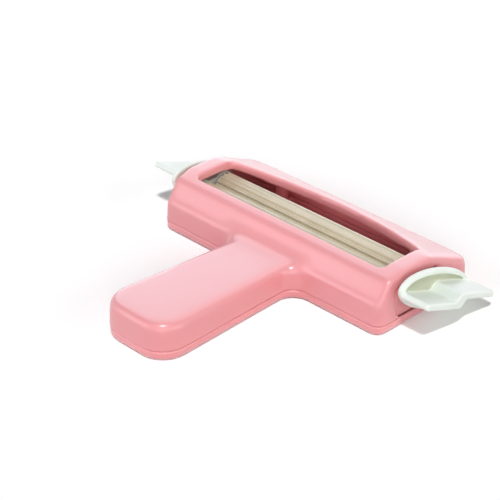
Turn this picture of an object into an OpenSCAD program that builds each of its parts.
// Hand-held paper crimper: a T-shaped moulded housing whose crossbar carries a pair of
// corrugated rollers, turned by a winged knob at each end of the driven shaft.
// X runs along the rollers, the handle points to -Y, +Z is up and Z = 0 is the table.

/* [Housing] */
// Length of the crossbar at the parting line
bar_l = 141.8; // [120:0.1:200]
// Depth of the crossbar at the parting line, front to back
bar_w = 63.2; // [60:0.1:80]
// Height of the hump above the table
bar_h = 28.2; // [27:0.1:36]
// Radius of the crossbar's upright corners
bar_corner = 5.2; // [3:0.1:8]
// Radius of the hump's edges at its two ends
end_round = 2.6; // [2:0.1:5]
// Wall of the mouldings
wall = 2; // [1.4:0.1:3]
// Height of the parting line above the table
seam_z = 5.1; // [4.5:0.1:7]
// How far the underside is drawn in from the parting line
base_inset = 0.93; // [0.3:0.01:1.5]
// Draft of the upright walls, in degrees
draft = 2.6; // [1:0.1:4]
// Slope of the hump's front flank, in degrees
flank_slope = 57; // [50:1:65]
// Fall of the hump's back, in degrees
back_slope = 23.6; // [15:0.1:28]

/* [Handle] */
// Reach of the handle's free end in front of the roller housing's centre
handle_reach = 115; // [90:1:150]
// Width of the handle near its free end
handle_w = 42.6; // [34:0.1:48]
// Loss of width over each millimetre towards the crossbar
handle_taper = 0.083; // [0:0.001:0.12]
// Height of the handle's top at its free end
handle_h = 18.8; // [15:0.1:22]
// Fall of the handle's top from its free end to the crossbar
handle_fall = 1.7; // [0:0.1:2]
// Radius of the handle's two free corners
handle_corner = 13.4; // [9:0.1:18]
// Radius of the handle's upper edge
handle_edge = 4.2; // [3:0.1:7]
// Radius of the upright fillet between handle and crossbar
junction_r = 8.5; // [5:0.1:12]
// Reach of the soft blend from the handle's top up the hump's flank
junction_blend = 7; // [3:0.1:9]

/* [Window] */
// How far the window stops short of each end of the rollers
window_margin = 0.6; // [0.4:0.1:8]
// Place of the window's straight front edge
window_front_y = -18; // [-20:0.1:-14]
// Place of the window's back corners
window_back_y = 6.3; // [4:0.1:10]
// How far the window's back edge bows out between those corners
window_bow = 14; // [4:0.1:16]
// Depth of the lip that turns down around the window
lip_depth = 3; // [2:0.1:4]
// Thickness of that lip
lip_wall = 1.6; // [1.2:0.1:2.4]

/* [Rollers] */
// Number of ridges on each roller
ridges = 16; // [12:1:24]
// Radius over the ridges
roller_r = 7.45; // [6:0.05:9]
// Height of a ridge from its root
ridge_h = 1.36; // [0.8:0.02:1.8]
// Room between a ridge and the root that it presses the paper into
mesh_gap = 0.55; // [0.4:0.01:1]
// Room for the bearings between each end of the rollers and of the crossbar
bearing_room = 9.9; // [9.5:0.1:14]
// Height of both roller axes above the table
axis_z = 14.4; // [13:0.1:18]
// Place of the driven axis, behind the crossbar's centre
drive_y = 1.55; // [0:0.05:4]
// Radius of the steel shafts
shaft_r = 2.5; // [2:0.1:3]
// Radial clearance of a shaft in its bush
run_fit = 0.05; // [0.02:0.01:0.1]
// Clearance between pieces that are fixed together
seat_fit = 0.02; // [0.01:0.01:0.05]

/* [Bearings] */
// Thickness of the upright bearing frames
frame_t = 4; // [3:0.1:5]
// Outer radius of a bush
bush_r = 4.6; // [3.8:0.1:5.2]
// Radius of a bush's flange
bush_flange_r = 5.8; // [5.4:0.1:6.4]
// Thickness of a bush's flange
bush_flange_t = 0.7; // [0.5:0.1:1]
// End play of the rollers between the flanges
end_play = 0.3; // [0.2:0.05:0.6]
// Thickness of a retaining clip
clip_t = 0.6; // [0.4:0.1:0.8]
// Outer radius of a retaining clip
clip_r = 4.2; // [3.6:0.1:5]

/* [Knobs] */
// Half length of the knob's oval flange
knob_a = 25.9; // [20:0.1:30]
// Half width of the knob's oval flange
knob_b = 10.1; // [8:0.1:12]
// Thickness of the flange
knob_flange_t = 3; // [2.4:0.1:4]
// Mean gap between the flanges and the crossbar's ends
knob_gap = 1.85; // [1.6:0.05:6]
// How far the driven shaft and its knobs sit to the right of the crossbar's middle
shaft_shift = 0.95; // [0:0.05:1]
// Reach of the grip fin beyond the flange's back
fin_reach = 17.1; // [10:0.1:20]
// Half length of the grip fin
fin_half = 24.6; // [16:0.1:25.4]
// Thickness of each half of the fin
fin_t = 3.2; // [2:0.05:4]
// Distance of each half of the fin from the shaft's axis
fin_step = 0.6; // [0.4:0.05:1.5]
// Radius of the knob's hub
hub_r = 5.2; // [4.6:0.1:6]
// Radius of the cross pins that hold the knobs
pin_r = 0.9; // [0.7:0.1:1.2]
// Tilt of the fin at rest, in degrees, with its front end up
knob_tilt = 20.4; // [0:0.1:24]

/* [Base] */
// Height by which the pads lift the housing off the table
pad_lift = 0.6; // [0.4:0.1:1]
// Radius of the non-slip pads
pad_r = 4.5; // [3:0.1:5]
// Width of the infeed slot in the floor, front to back
slot_w = 12.4; // [8:0.1:14]
// How far the slot stops short of each end of the rollers
slot_margin = 4; // [3:0.1:12]
// Radius of the screws
screw_r = 1.25; // [1:0.05:1.5]
// Radius of the screw heads
screw_head_r = 2.4; // [2:0.1:3]

/* [Hidden] */

eps = 0.01;
thin = 0.01;
cut = 1;

half_l = bar_l / 2;
half_w = bar_w / 2;
slope = tan(draft);

// Shift that puts the frame's origin on the table under the middle of the whole tool
frame_shift = [-shaft_shift, (handle_reach - half_w) / 2, 0];

// Roller train
roller_l = bar_l - 2 * bearing_room;
window_l = roller_l - 2 * window_margin;
slot_l = roller_l - 2 * slot_margin;
ridge_mid_r = roller_r - ridge_h / 2;
centre_distance = 2 * ridge_mid_r + mesh_gap;
idler_y = drive_y - centre_distance;
nip_y = (drive_y + idler_y) / 2;
roller_top = axis_z + roller_r;

window_corner = 1.5;

// Stations along X, outwards from the roller's end
bush_x = roller_l / 2 + end_play;
frame_x = bush_x + bush_flange_t;
side_gap = 0.2;
clip_x = frame_x + frame_t + side_gap;
idler_end_x = clip_x + clip_t + side_gap;
cover_x = idler_end_x + side_gap;
end_x = half_l - slope * (bar_h - end_round - seam_z);
inner_end_x = end_x - wall;
knob_x = half_l - slope * (axis_z - seam_z) + knob_gap;
hub_gap = 0.5;
hub_x = frame_x + frame_t + hub_gap + shaft_shift;
drive_end_x = knob_x + 0.1;
flat_depth = 0.6;
groove_r = shaft_r - 0.5;
pin_x = hub_x + (knob_x - hub_x) * 0.5;

// Hump profile: [y, z, radius] of each corner, front to back
ledge_z = handle_h - handle_fall + 0.2;
ledge_roll = 2.6;
flank_y = -half_w + ledge_roll;
crest_drop = 2.6;
crest_run = 9;
crest_front_y = flank_y + (bar_h - crest_drop - ledge_z) / tan(flank_slope);
crest_back_y = 4;
back_y = half_w - slope * (axis_z - seam_z);
back_z = bar_h - (back_y - crest_back_y) * tan(back_slope);
hump_foot_z = axis_z - 3.5;
deep = -20;
hump = [
    [flank_y, deep, 0],
    [flank_y, ledge_z, 0],
    [crest_front_y, bar_h - crest_drop, 5],
    [crest_front_y + crest_run, bar_h, 14],
    [crest_back_y, bar_h, 22],
    [back_y, back_z, 7],
    [back_y, deep, 0],
];

// Handle outline at the parting line
handle_half = handle_w / 2;
side_angle = atan(handle_taper / 2);
function handle_half_at(y) = handle_half - handle_taper / 2 * (y + handle_reach - handle_corner);
near_y = -24;
near_corner = handle_edge + 1.4;
handle_top_near = handle_h - handle_fall;

// Upright fillet beside the handle
fillet_y = -half_w - junction_r;
fillet_x = handle_half_at(fillet_y) + junction_r / cos(side_angle);

// Section swept round that fillet, from the drafted side over the rolled upper edge
blend_rows = 10;
roll_steps = 6;
top_steps = 2;
side_inset = slope * (handle_top_near - handle_edge - seam_z);
section = concat(
    [[-slope * cut, seam_z - cut]],
    [for (i = [0:roll_steps])
        [side_inset + handle_edge * (1 - cos(90 * i / roll_steps)),
         handle_top_near - handle_edge * (1 - sin(90 * i / roll_steps))]]
);
section_end = side_inset + handle_edge;
crest_gap = 0.4;
crest_blend = 6;
sink = 0.02;
flank_sink = 0.12;

// Screws through the floor: [x, y]
screw_end_room = 26.9;
screw_edge_room = 6.6;
screw_near_room = 18.4;
screw_tip_room = 17;
screw_places = [
    for (sx = [-1, 1], sy = [-1, 1])
        [sx * (half_l - screw_end_room), sy * (half_w - screw_edge_room)],
    [0, -half_w - screw_near_room],
    [0, -handle_reach + screw_tip_room],
];
boss_r = screw_r + 2;
post_rim = 0.6;
screw_play = 0.2;
head_play = 0.3;
screw_top = 12.4;
screw_tip_gap = 0.6;
pilot_sides = 16;
pilot_r = (screw_r + seat_fit) / cos(180 / pilot_sides);
screw_head_h = 1.3;
head_z = pad_lift + 1.6;
cross_reach = 0.6;
cross_w = 0.5;
cross_depth = 0.55;

// Floor, its rolled lower edge and the tongue that seats inside the upper moulding
floor_z = pad_lift + 1.8;
floor_roll = 1.4;
floor_roll_inset = 0.45 * base_inset;
tongue_h = 1.4;
tongue_t = 0.9;
tongue_play = 0.15;
tongue_gap_l = 4 * wall + 4;
tongue_gap_w = 34;

// Non-slip pads: [x, y]
pad_pocket = 0.8;
pad_play = 0.1;
pad_end_room = 14.9;
pad_edge_room = 7.6;
pad_tip_room = 9;
pad_places = [
    for (sx = [-1, 1], sy = [-1, 1])
        [sx * (half_l - pad_end_room), sy * (half_w - pad_edge_room)],
    for (sx = [-1, 1])
        [sx * pad_tip_room, -handle_reach + pad_tip_room],
];

// Cross ribs of the handle
rib_t = 1.2;
rib_foot_h = 1.4;
rib_lift = 3;
rib_first = 29;
rib_pitch = 12;
rib_room = 2 * rib_t + wall + 0.2;
rib_places = [for (i = [0:2]) -handle_reach + rib_first + i * rib_pitch];

// Bearing frames
frame_screw_r = 1;
frame_head_r = 1.8;
frame_screw_bite = 4.4;
frame_head_h = 0.8;
frame_seat = 1;
foot_reach = 6;
foot_h = 5.2;
foot_margin = 2;
frame_foot_y = [idler_y - foot_reach, drive_y + foot_reach];
frame_bottom = floor_z + 0.1;
frame_eye_r = bush_r + 3.2;
foot_l = frame_foot_y[1] - frame_foot_y[0] + 2 * foot_margin;
kerb_t = 1.4;
kerb_h = 1.6;
eye_hole_r = 1.8;
eye_hole_lift = 4;
shoulder_share = 0.8;

// Funnel over the infeed slot
guide_gap = 3;
guide_t = 1;
guide_top = 8.2;
guide_l = slot_l - 2;
guide_base = floor_z + seat_fit;
guide_foot = 4;
guide_bend_r = 3.6;
guide_swell = 0.4;
guide_web = 1.2;
guide_web_h = 3;
guide_web_reach = 3;

// End covers, round the point between the two axes
cover_r = 14.7;
cover_top = hub_r + axis_z + 1.1;
cover_rebate = 1.3;
cover_fit = 0.2;
cover_lip = 1.4;
cover_play = 0.05;
cover_foot = 0.4;

// Knob
belly = 0.65;
dish_floor = 0.38;
fin_root = 0.2;
web_out = 0.8;
web_in = 1.4;
fin_corner = 4;
fin_edge = 1.1;
bore_over = 0.3;
pin_short = 0.4;
rim_round = 0.5;
dish_rim = 2.4;
dish_slope = 1;
dish_a = 7;
dish_b = 5.6;

// ---------------------------------------------------------------- helpers

function unit(v) = v / norm(v);

// Arc that rounds corner p between its neighbours a and b
function corner_arc(a, p, b, r, steps) =
    r <= 0 ? [p] :
    let (
        u = unit(a - p),
        v = unit(b - p),
        half = acos(u * v) / 2,
        centre = p + unit(u + v) * r / sin(half),
        from = p + u * r / tan(half) - centre,
        to = p + v * r / tan(half) - centre,
        a0 = atan2(from[1], from[0]),
        turn = atan2(to[1], to[0]) - a0,
        sweep = turn > 180 ? turn - 360 : turn < -180 ? turn + 360 : turn
    )
    [for (i = [0:steps])
        centre + r * [cos(a0 + sweep * i / steps), sin(a0 + sweep * i / steps)]];

// Outline with rounded corners, from [x, y, radius] points
function rounded(pts, steps = 5) =
    let (n = len(pts))
    [for (i = [0:n - 1])
        let (
            a = pts[(i + n - 1) % n],
            p = pts[i],
            b = pts[(i + 1) % n]
        )
        each corner_arc([a[0], a[1]], [p[0], p[1]], [b[0], b[1]], p[2], steps)];

function ellipse_pts(a, b, n = 48) = [for (i = [0:n - 1]) [a * cos(360 * i / n), b * sin(360 * i / n)]];

// Smooth maximum and minimum of two heights, blended over k
function smax(a, b, k) =
    abs(a - b) >= k ? max(a, b) : max(a, b) + pow(k - abs(a - b), 2) / (4 * k);
function smin(a, b, k) = -smax(-a, -b, k);

// Puts a drawing of the (Y, Z) plane upright at a station along X
module at_x(x) {
    translate([x, 0, 0])
        rotate([90, 0, 90])
            children();
}

// Colours a piece and puts it in the frame
module placed(tone) {
    color(tone)
        translate(frame_shift)
            children();
}

module at_both_ends() {
    children();
    mirror([1, 0, 0])
        children();
}

// ---------------------------------------------------------------- housing forms

module bar_outline(inset) {
    offset(r = bar_corner - inset)
        square([bar_l - 2 * bar_corner, bar_w - 2 * bar_corner], center = true);
}

module handle_outline(inset) {
    tip_y = -handle_reach + inset;
    tip_half = handle_half_at(-handle_reach) - inset;
    root_half = handle_half_at(near_y) - inset;
    polygon(rounded([
        [-root_half, near_y, 0],
        [-tip_half, tip_y, handle_corner - inset],
        [tip_half, tip_y, handle_corner - inset],
        [root_half, near_y, 0],
    ], 12));
}

module slice(z) {
    translate([0, 0, z])
        linear_extrude(thin)
            children();
}

// Front ledge of the crossbar, with a rolled upper edge
module ledge_form(inset) {
    roll_z = ledge_z - ledge_roll;
    hull() {
        slice(seam_z - cut)
            bar_outline(inset - slope * cut);
        for (a = [0:15:75])
            slice(roll_z - inset + ledge_roll * sin(a))
                bar_outline(inset + slope * (roll_z - seam_z) + ledge_roll * (1 - cos(a)));
    }
}

// Hump of the crossbar, rounded over at both ends
module hump_form(inset) {
    hull() {
        slice(seam_z - cut)
            bar_outline(inset - slope * cut);
        for (side = [-1, 1], a = [0:18:90])
            at_x(side * (end_x - inset - end_round * (1 - sin(a))))
                translate([0, 0, -thin / 2])
                    linear_extrude(thin)
                        intersection() {
                            offset(delta = -inset - end_round * (1 - cos(a)))
                                polygon(rounded(hump));
                            translate([-bar_w, hump_foot_z])
                                square([2 * bar_w, bar_h]);
                        }
    }
}

// Round corner of the handle with a drafted side and a rolled edge
module handle_puck(r, h, inset) {
    rise = h - seam_z + cut;
    roll = handle_edge - inset;
    side = r - inset + slope * cut;
    top_side = side - slope * (rise - roll);
    translate([0, 0, seam_z - cut])
        rotate_extrude($fn = 32)
            polygon(concat(
                [[0, 0], [side, 0]],
                [for (a = [0:15:90])
                    [top_side - roll * (1 - cos(a)), rise - inset - roll * (1 - sin(a))]],
                [[0, rise - inset]]
            ));
}

module handle_form(inset) {
    tip_y = -handle_reach + handle_corner;
    hull() {
        for (side = [-1, 1]) {
            translate([side * (handle_half_at(tip_y) - handle_corner), tip_y, 0])
                handle_puck(handle_corner, handle_h, inset);
            translate([side * (handle_half_at(near_y) - near_corner), near_y, 0])
                handle_puck(near_corner, handle_top_near, inset);
        }
    }
}

// Junction of handle and hump: rows of a loft that sweep round the upright fillet, each
// climbing the drafted side, rolling over the edge and blending into the hump's flank.
function flank_z(y) =
    smin(ledge_z + (y - flank_y) * tan(flank_slope), bar_h - crest_gap, crest_blend);
function blended(y, z) =
    z < handle_top_near - handle_edge ? z :
    let (
        share = (z - handle_top_near + handle_edge) / handle_edge,
        full = smax(z, flank_z(y), junction_blend)
    )
    z + (full - z) * share - sink - flank_sink * share * (flank_z(y) > z ? 1 : 0);

function blend_row(a) =
    let (
        edge = [for (s = section)
            [fillet_x - (junction_r + s[0]) * cos(a), fillet_y + (junction_r + s[0]) * sin(a), s[1]]],
        inner = fillet_x - (junction_r + section_end) * cos(a),
        y = fillet_y + (junction_r + section_end) * sin(a),
        half_row = concat(
            [for (p = edge) [p[0], p[1], blended(p[1], p[2])]],
            [for (i = [1:top_steps]) [inner * (1 - i / top_steps), y, blended(y, handle_top_near)]]
        ),
        n = len(half_row)
    )
    concat(half_row, [for (i = [n - 2:-1:0]) [-half_row[i][0], half_row[i][1], half_row[i][2]]]);

module junction_form() {
    rows = [for (i = [0:blend_rows]) blend_row(90 * i / blend_rows)];
    columns = len(rows[0]);
    last = columns - 1;
    function id(i, j) = i * columns + j;
    rim = concat(
        [for (i = [0:blend_rows]) id(i, 0)],
        [for (j = [1:last]) id(blend_rows, j)],
        [for (i = [blend_rows - 1:-1:0]) id(i, last)],
        [for (j = [last - 1:-1:1]) id(0, j)]
    );
    points = [for (row = rows) each row];
    bottom = [for (k = rim) [points[k][0], points[k][1], seam_z - 2 * cut]];
    base = len(points);
    count = len(rim);
    polyhedron(
        points = concat(points, bottom),
        faces = concat(
            [for (i = [0:blend_rows - 1], j = [0:last - 1]) each [
                [id(i, j), id(i, j + 1), id(i + 1, j + 1)],
                [id(i, j), id(i + 1, j + 1), id(i + 1, j)],
            ]],
            [for (k = [0:count - 1]) each [
                [rim[k], rim[(k + 1) % count], base + (k + 1) % count],
                [rim[k], base + (k + 1) % count, base + k],
            ]],
            [[for (k = [0:count - 1]) base + k]]
        )
    );
}

module window_outline(grow) {
    chord = window_l / 2;
    bow_r = (chord * chord + window_bow * window_bow) / (2 * window_bow);
    bow_y = window_back_y + window_bow - bow_r;
    offset(r = grow)
        offset(r = window_corner)
            offset(delta = -window_corner)
                intersection() {
                    translate([-chord, window_front_y])
                        square([window_l, bow_r]);
                    translate([0, bow_y])
                        circle(bow_r, $fn = 120);
                }
}

module above(z) {
    translate([-bar_l, -2 * handle_reach, z])
        cube([2 * bar_l, 4 * handle_reach, 4 * bar_h]);
}

// Round opening in each end of the crossbar
module end_opening(r, top) {
    intersection() {
        translate([nip_y, axis_z])
            circle(r, $fn = 48);
        translate([-bar_w, seam_z - cut])
            square([2 * bar_w, top - seam_z + cut]);
    }
}

// ---------------------------------------------------------------- housing pieces

module upper_hollow() {
    difference() {
        union() {
            ledge_form(wall);
            hump_form(wall);
            handle_form(wall);
            // Rebate for the lower moulding's tongue
            translate([0, 0, seam_z - cut])
                linear_extrude(cut + tongue_h + tongue_play)
                    tee_outline(wall);
        }
        // Drafted screw bosses
        for (p = screw_places)
            translate([p[0], p[1], 0])
                hull() {
                    slice(seam_z - cut)
                        circle(boss_r, $fn = 24);
                    slice(bar_h)
                        circle(boss_r + slope * (bar_h - seam_z), $fn = 24);
                }
        // Cross ribs of the handle
        for (y = rib_places)
            translate([-handle_half, y, seam_z + rib_lift])
                cube([handle_w, rib_t, bar_h]);
        // Lip round the window
        difference() {
            linear_extrude(bar_h + cut)
                window_outline(lip_wall);
            intersection() {
                hump_form(wall + lip_depth);
                linear_extrude(bar_h)
                    window_outline(2 * lip_wall);
            }
        }
    }
}

module upper_housing() {
    placed("pink")
        difference() {
            intersection() {
                union() {
                    ledge_form(0);
                    hump_form(0);
                    handle_form(0);
                    junction_form();
                }
                above(seam_z);
            }
            upper_hollow();
            translate([0, 0, axis_z])
                linear_extrude(bar_h)
                    window_outline(0);
            at_both_ends()
                at_x(inner_end_x - cut)
                    linear_extrude(half_l)
                        end_opening(cover_r, cover_top);
            for (p = screw_places)
                translate([p[0], p[1], seam_z - cut])
                    cylinder(r = pilot_r, h = screw_top + screw_tip_gap - seam_z + cut, $fn = pilot_sides);
        }
}

module floor_form(inset) {
    hull() {
        slice(seam_z - thin)
            bar_outline(inset);
        slice(pad_lift + floor_roll)
            bar_outline(inset + floor_roll_inset);
        slice(pad_lift)
            bar_outline(inset + base_inset);
    }
    hull() {
        slice(seam_z - thin)
            handle_outline(inset);
        slice(pad_lift + floor_roll)
            handle_outline(inset + floor_roll_inset);
        slice(pad_lift)
            handle_outline(inset + base_inset);
    }
    // Upright fillets beside the handle
    at_both_ends()
        difference() {
            translate([fillet_x - 1.2 * junction_r, fillet_y, pad_lift])
                cube([1.2 * junction_r, 1.2 * junction_r, seam_z - pad_lift]);
            translate([fillet_x, fillet_y, 0])
                rotate_extrude($fn = 96)
                    polygon([
                        [0, 0],
                        [junction_r + base_inset + inset, 0],
                        [junction_r + base_inset + inset, pad_lift],
                        [junction_r + floor_roll_inset + inset, pad_lift + floor_roll],
                        [junction_r + inset, seam_z],
                        [junction_r + inset, seam_z + cut],
                        [0, seam_z + cut],
                    ]);
        }
}

// Plan of the whole T at the parting line
module tee_outline(inset) {
    offset(delta = -inset)
        offset(r = -junction_r)
            offset(delta = junction_r)
                union() {
                    bar_outline(0);
                    handle_outline(0);
                }
}

module lower_housing() {
    placed("lightpink")
        difference() {
            union() {
                difference() {
                    floor_form(0);
                    translate([0, 0, floor_z])
                        linear_extrude(seam_z)
                            tee_outline(wall);
                }
                // Tongue that seats inside the upper moulding
                translate([0, 0, floor_z - eps])
                    linear_extrude(seam_z + tongue_h - floor_z)
                        difference() {
                            tee_outline(wall + tongue_play);
                            tee_outline(wall + tongue_play + tongue_t);
                            for (side = [-1, 1])
                                translate([side * half_l, nip_y])
                                    square([tongue_gap_l, tongue_gap_w], center = true);
                        }
                // Screw posts
                for (p = screw_places)
                    translate([p[0], p[1], floor_z - eps])
                        cylinder(r = boss_r + post_rim, h = seam_z + eps - floor_z, $fn = 48);
                // Kerbs that hold the feet of the bearing frames
                at_both_ends()
                    for (x = [frame_x - kerb_t, frame_x + frame_t + seat_fit])
                        translate([x, frame_foot_y[0] - foot_margin, floor_z - eps])
                            cube([kerb_t - seat_fit, foot_l, kerb_h]);
                // Stiffening ribs of the handle's floor
                for (y = rib_places)
                    translate([-handle_half + rib_room, y, floor_z - eps])
                        cube([handle_w - 2 * rib_room, rib_t, rib_foot_h]);
            }
            translate([-slot_l / 2, nip_y - slot_w / 2, -cut])
                cube([slot_l, slot_w, seam_z + 2 * cut]);
            for (p = screw_places)
                translate([p[0], p[1], 0]) {
                    cylinder(r = screw_r + screw_play, h = bar_h, $fn = 32);
                    cylinder(r = screw_head_r + head_play, h = head_z + seat_fit, $fn = 32);
                }
            at_both_ends()
                for (y = frame_foot_y)
                    translate([frame_x + frame_t / 2, y, 0]) {
                        cylinder(r = frame_screw_r + tongue_play, h = bar_h, $fn = 32);
                        cylinder(r = frame_head_r + side_gap, h = pad_lift + frame_seat + seat_fit, $fn = 32);
                    }
            for (p = pad_places)
                translate([p[0], p[1], 0])
                    cylinder(r = pad_r + pad_play, h = pad_lift + pad_pocket, $fn = 48);
        }
}

module non_slip_pads() {
    placed("dimgray")
        for (p = pad_places)
            translate([p[0], p[1], 0])
                cylinder(r = pad_r, h = pad_lift + pad_pocket - seat_fit, $fn = 48);
}

// Pan-head screw, its head's face at the bottom
module screw(r, head_r, head_h, length) {
    difference() {
        union() {
            cylinder(r = head_r, h = head_h, $fn = 32);
            translate([0, 0, head_h - eps])
                cylinder(r = r, h = length, $fn = 32);
        }
        translate([0, 0, -eps])
            for (a = [0, 90])
                rotate([0, 0, a])
                    translate([-head_r * cross_reach, -cross_w / 2, 0])
                        cube([2 * head_r * cross_reach, cross_w, head_h * cross_depth]);
    }
}

module housing_screws() {
    placed("silver")
        for (p = screw_places)
            translate([p[0], p[1], head_z - screw_head_h])
                screw(screw_r, screw_head_r, screw_head_h, screw_top - head_z);
}

module frame_screws() {
    seat = pad_lift + frame_seat;
    placed("silver")
        at_both_ends()
            for (y = frame_foot_y)
                translate([frame_x + frame_t / 2, y, seat - frame_head_h])
                    screw(frame_screw_r, frame_head_r, frame_head_h, frame_bottom + frame_screw_bite - seat);
}

// Outline of the end opening, grown or shrunk, above the tongue of the lower moulding
module cover_outline(grow) {
    intersection() {
        end_opening(cover_r + grow, cover_top + grow);
        translate([-bar_w, seam_z + cover_foot])
            square([2 * bar_w, bar_h]);
        // Clear of the rounded inner edges of the crossbar's end
        offset(delta = -wall - end_round - cover_rebate + grow - side_gap)
            polygon(rounded(hump));
    }
}

// Plate across the end opening, let in below the crossbar's end face
module end_cover() {
    difference() {
        union() {
            at_x(cover_x)
                linear_extrude(inner_end_x - cover_x - cover_play)
                    cover_outline(cover_rebate);
            at_x(inner_end_x - cover_play - eps)
                linear_extrude(cover_lip)
                    cover_outline(-cover_fit);
        }
        at_x(cover_x - cut)
            linear_extrude(half_l)
                translate([drive_y, axis_z])
                    circle(hub_r + hub_gap, $fn = 64);
    }
}

module right_end_cover() {
    placed("pink")
        end_cover();
}

module left_end_cover() {
    placed("pink")
        mirror([1, 0, 0])
            end_cover();
}

// ---------------------------------------------------------------- bearings and guide

module bearing_frame() {
    difference() {
        at_x(frame_x)
            linear_extrude(frame_t)
                difference() {
                    union() {
                        for (y = [idler_y, drive_y])
                            translate([y, axis_z])
                                circle(frame_eye_r, $fn = 72);
                        translate([idler_y, frame_bottom])
                            square([centre_distance, axis_z + shoulder_share * frame_eye_r - frame_bottom]);
                        translate([frame_foot_y[0] - foot_margin, frame_bottom])
                            square([foot_l, foot_h]);
                    }
                    for (y = [idler_y, drive_y])
                        translate([y, axis_z])
                            circle(bush_r + seat_fit, $fn = 64);
                    // Lightening hole below the nip
                    translate([nip_y, frame_bottom + eye_hole_lift])
                        circle(eye_hole_r, $fn = 32);
                }
        for (y = frame_foot_y)
            translate([frame_x + frame_t / 2, y, frame_bottom - cut])
                cylinder(r = frame_screw_r + seat_fit, h = frame_screw_bite + 0.4 + cut, $fn = 32);
    }
}

module right_frame() {
    placed("lightgray")
        bearing_frame();
}

module left_frame() {
    placed("lightgray")
        mirror([1, 0, 0])
            bearing_frame();
}

module bush(y) {
    at_x(bush_x)
        translate([y, axis_z])
            difference() {
                union() {
                    cylinder(r = bush_flange_r, h = bush_flange_t, $fn = 64);
                    cylinder(r = bush_r, h = bush_flange_t + frame_t, $fn = 64);
                }
                translate([0, 0, -cut])
                    cylinder(r = shaft_r + run_fit, h = frame_t + 4 * cut, $fn = 64);
            }
}

module drive_bush_right() {
    placed("ivory")
        bush(drive_y);
}

module drive_bush_left() {
    placed("ivory")
        mirror([1, 0, 0])
            bush(drive_y);
}

module idler_bush_right() {
    placed("ivory")
        bush(idler_y);
}

module idler_bush_left() {
    placed("ivory")
        mirror([1, 0, 0])
            bush(idler_y);
}

// One side of the funnel that leads the sheet from the floor slot up to the nip
module guide_side() {
    mouth = slot_w / 2 + side_gap;
    throat = guide_gap / 2;
    span = mouth - throat;
    polygon(concat(
        [[mouth + guide_foot, guide_base], [mouth + guide_foot, floor_z + guide_t]],
        [for (a = [0:15:75])
            [throat + guide_t + span * (1 - sin(a)) + guide_swell,
             floor_z + guide_t + guide_bend_r * (1 - cos(a))]],
        [[throat + guide_t, guide_top], [throat, guide_top]],
        [for (a = [75:-15:0])
            [throat + span * (1 - sin(a)), guide_base + guide_bend_r * (1 - cos(a))]]
    ));
}

module infeed_guide() {
    placed("gainsboro")
        union() {
            for (side = [0, 1])
                at_x(-guide_l / 2)
                    translate([nip_y, 0])
                        mirror([side, 0, 0])
                            linear_extrude(guide_l)
                                guide_side();
            // End webs that tie the two sides together
            at_both_ends()
                at_x(guide_l / 2 - guide_web)
                    linear_extrude(guide_web)
                        translate([nip_y - slot_w / 2 - guide_web_reach, guide_base])
                            square([slot_w + 2 * guide_web_reach, guide_web_h]);
        }
}

// ---------------------------------------------------------------- rollers

// Corrugated section, a ridge or a root facing +Y as phase asks
function ridge_pts(phase) =
    let (n = ridges * 12)
    [for (i = [0:n - 1])
        let (a = 360 * i / n, r = ridge_mid_r + ridge_h / 2 * cos(ridges * a + phase))
        [r * cos(a), r * sin(a)]];

module roller(y, phase) {
    at_x(-roller_l / 2)
        translate([y, axis_z])
            difference() {
                linear_extrude(roller_l)
                    polygon(ridge_pts(phase));
                translate([0, 0, -cut])
                    cylinder(r = shaft_r + seat_fit, h = roller_l + 2 * cut, $fn = 64);
            }
}

module drive_roller() {
    placed("antiquewhite")
        roller(drive_y, 0);
}

module idler_roller() {
    placed("antiquewhite")
        roller(idler_y, 180);
}

module drive_shaft() {
    placed("silver")
        translate([shaft_shift, 0, 0])
            difference() {
                at_x(-drive_end_x)
                    translate([drive_y, axis_z])
                        cylinder(r = shaft_r, h = 2 * drive_end_x, $fn = 64);
                // Flats that the knobs grip
                at_both_ends()
                    translate([hub_x, drive_y, axis_z])
                        rotate([-knob_tilt, 0, 0])
                            translate([0, -shaft_r - cut, shaft_r - flat_depth])
                                cube([drive_end_x, 2 * shaft_r + 2 * cut, shaft_r]);
                knob_pin_holes(pin_r + seat_fit);
            }
}

module idler_shaft() {
    placed("silver")
        difference() {
            at_x(-idler_end_x)
                translate([idler_y, axis_z])
                    cylinder(r = shaft_r, h = 2 * idler_end_x, $fn = 64);
            at_both_ends()
                at_x(clip_x - seat_fit)
                    translate([idler_y, axis_z])
                        difference() {
                            cylinder(r = shaft_r + cut, h = clip_t + 2 * seat_fit, $fn = 64);
                            translate([0, 0, -cut])
                                cylinder(r = groove_r, h = clip_t + 2 * cut, $fn = 64);
                        }
        }
}

module idler_clips() {
    placed("darkgray")
        at_both_ends()
            at_x(clip_x)
                translate([idler_y, axis_z])
                    linear_extrude(clip_t)
                        difference() {
                            circle(clip_r, $fn = 48);
                            circle(groove_r + seat_fit, $fn = 48);
                            translate([-groove_r * 0.85, -clip_r - cut])
                                square([groove_r * 1.7, clip_r + cut]);
                        }
}

// ---------------------------------------------------------------- knobs

// Holes across the hub, along the fin's normal
module knob_pin_holes(r) {
    at_both_ends()
        translate([pin_x, drive_y, axis_z])
            rotate([-knob_tilt, 0, 0])
                cylinder(r = r, h = 4 * hub_r, center = true, $fn = 32);
}

module oval(a, b, z) {
    translate([0, 0, z])
        linear_extrude(thin)
            polygon(ellipse_pts(a, b));
}

// S-shaped section of the fin: two parallel halves joined by a slanting web
module fin_section() {
    outer = fin_step + fin_t;
    polygon(rounded([
        [-fin_half, -outer, fin_edge],
        [0.9, -outer, web_in],
        [3.9, fin_step, web_out],
        [fin_half, fin_step, fin_edge],
        [fin_half, outer, fin_edge],
        [0.5, outer, web_in],
        [-1.9, -fin_step, web_out],
        [-fin_half, -fin_step, fin_edge],
    ], 5));
}

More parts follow.
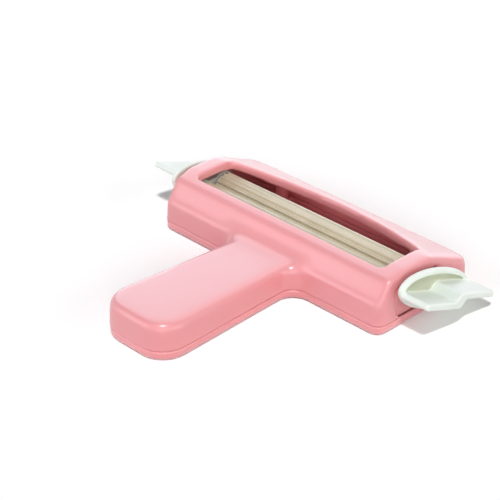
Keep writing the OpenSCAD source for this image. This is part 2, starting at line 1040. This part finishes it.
// Knob along its own axis: +X is the fin's length, the flange's back lies at Z = 0
module knob() {
    hub_l = knob_x - hub_x;
    rim = knob_flange_t;
    difference() {
        union() {
            difference() {
                hull() {
                    oval(knob_a - rim_round, knob_b - rim_round, 0);
                    oval(knob_a, knob_b, rim_round);
                    oval(knob_a - rim_round / 2, knob_b - rim_round / 2, rim * belly);
                    oval(knob_a - 3 * rim_round, knob_b - 3 * rim_round, rim - thin);
                }
                // Dished face
                hull() {
                    oval(knob_a - dish_rim, knob_b - dish_rim, rim + eps);
                    oval(knob_a - dish_rim - dish_slope, knob_b - dish_rim - dish_slope, rim * belly);
                    oval(knob_a - dish_a, knob_b - dish_b, rim * dish_floor);
                }
            }
            intersection() {
                translate([0, 0, rim * fin_root])
                    linear_extrude(fin_reach)
                        fin_section();
                rotate([90, 0, 0])
                    translate([0, 0, -knob_b])
                        linear_extrude(2 * knob_b)
                            polygon(rounded([
                                [-fin_half - eps, 0, 0],
                                [fin_half + eps, 0, 0],
                                [fin_half + eps, fin_reach, fin_corner],
                                [-fin_half - eps, fin_reach, fin_corner],
                            ], 8));
            }
            translate([0, 0, -hub_l])
                cylinder(r = hub_r, h = hub_l + rim * fin_root, $fn = 64);
        }
        // Blind bore with a flat
        translate([0, 0, -hub_l - cut])
            difference() {
                cylinder(r = shaft_r + seat_fit, h = hub_l + cut + bore_over, $fn = 64);
                translate([-shaft_r - cut, shaft_r - flat_depth + seat_fit, -cut])
                    cube([2 * shaft_r + 2 * cut, shaft_r, hub_l + 4 * cut]);
            }
        // Cross hole for the pin
        translate([0, 0, pin_x - knob_x])
            rotate([90, 0, 0])
                cylinder(r = pin_r + seat_fit, h = 4 * hub_r, center = true, $fn = 32);
    }
}

module knob_in_place() {
    translate([knob_x + shaft_shift, drive_y, axis_z])
        rotate([-knob_tilt, 0, 0])
            rotate([90, 0, 90])
                knob();
}

module right_knob() {
    placed("honeydew")
        knob_in_place();
}

// The same moulding, turned round
module left_knob() {
    placed("honeydew")
        translate([shaft_shift - knob_x, drive_y, axis_z])
            rotate([-knob_tilt, 0, 0])
                rotate([0, 0, 180])
                    rotate([90, 0, 90])
                        knob();
}

module knob_pins() {
    placed("silver")
        translate([shaft_shift, 0, 0])
            at_both_ends()
                translate([pin_x, drive_y, axis_z])
                    rotate([-knob_tilt, 0, 0])
                        cylinder(r = pin_r, h = 2 * (hub_r - pin_short), center = true, $fn = 32);
}

upper_housing();
lower_housing();
left_end_cover();
right_end_cover();
left_frame();
right_frame();
drive_bush_left();
drive_bush_right();
idler_bush_left();
idler_bush_right();
infeed_guide();
housing_screws();
frame_screws();
non_slip_pads();
drive_roller();
drive_shaft();
left_knob();
right_knob();
knob_pins();
idler_roller();
idler_shaft();
idler_clips();
